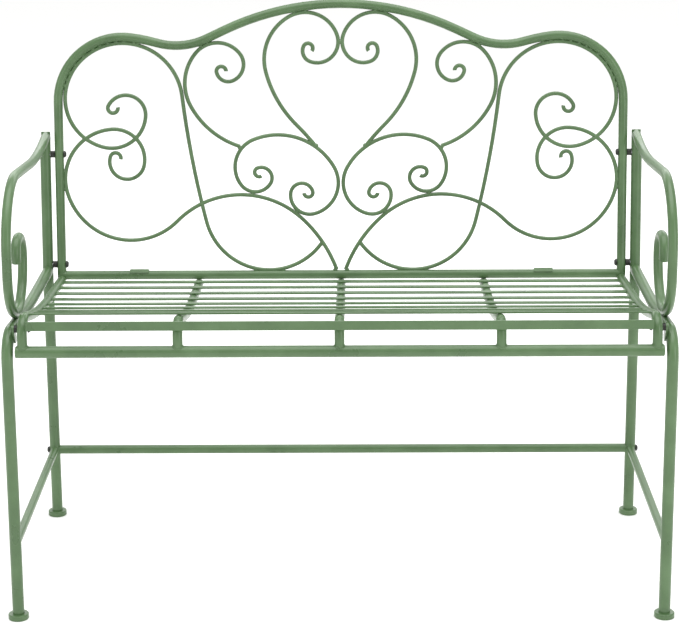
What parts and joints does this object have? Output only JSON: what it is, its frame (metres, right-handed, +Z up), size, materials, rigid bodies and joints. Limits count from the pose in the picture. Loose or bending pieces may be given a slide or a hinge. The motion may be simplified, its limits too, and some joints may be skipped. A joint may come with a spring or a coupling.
{
  "type": "garden bench",
  "caption": "Two-seat tubular steel garden bench with scrolled armrests, a slatted seat and an arched open back filled with curled rods.",
  "frame": {"origin": "on the ground under the middle of the bench's overall box", "axes": "+X to the right for someone facing the front of the bench, +Y from the front of the seat to the back, +Z up"},
  "size_m": [1.083, 0.5321, 0.9423],
  "materials": {
    "green_coat": "sage green powder coat, semi-gloss with fine orange peel",
    "black_plastic": "matte black moulded spacer",
    "dark_bolt": "black-coated domed head",
    "bare_steel": "zinc-plated thread inserts and nuts",
    "foot_rubber": "moulded foot cap coloured like the frame"
  },
  "bodies": {
    "root": {"armrest_end_plate_left": "green_coat", "armrest_end_plate_right": "green_coat", "armrest_left": "green_coat", "armrest_right": "green_coat", "back_bolts": "dark_bolt", "back_bottom_rail": "green_coat", "back_frame_tube": "green_coat", "back_spacers": "black_plastic", "back_threaded_inserts": "bare_steel", "foot_front_left": "foot_rubber", "foot_front_right": "foot_rubber", "foot_rear_left": "foot_rubber", "foot_rear_right": "foot_rubber", "front_leg_left": "green_coat", "front_leg_right": "green_coat", "front_tube_plugs": "green_coat", "joining_tab_left": "green_coat", "joining_tab_right": "green_coat", "rear_leg_left": "green_coat", "rear_leg_right": "green_coat", "rear_stretcher": "green_coat", "scroll_double_left": "green_coat", "scroll_double_right": "green_coat", "scroll_heart_left": "green_coat", "scroll_heart_right": "green_coat", "scroll_lower_ring_left": "green_coat", "scroll_lower_ring_right": "green_coat", "scroll_shoulder_left": "green_coat", "scroll_shoulder_right": "green_coat", "scroll_upper_ring_left": "green_coat", "scroll_upper_ring_right": "green_coat", "seat_bolts": "dark_bolt", "seat_front_slat": "green_coat", "seat_front_tube": "green_coat", "seat_mount_tabs": "green_coat", "seat_slat_1": "green_coat", "seat_slat_2": "green_coat", "seat_slat_3": "green_coat", "seat_slat_4": "green_coat", "seat_slat_5": "green_coat", "seat_slat_6": "green_coat", "seat_slat_7": "green_coat", "seat_slat_8": "green_coat", "seat_slat_9": "green_coat", "seat_spacers": "black_plastic", "seat_support_left": "green_coat", "seat_support_left_end": "green_coat", "seat_support_middle": "green_coat", "seat_support_right": "green_coat", "seat_support_right_end": "green_coat", "side_stretcher_left": "green_coat", "side_stretcher_right": "green_coat", "stretcher_bolts": "dark_bolt", "stretcher_end_nuts": "bare_steel"}
  },
  "joints": []
}
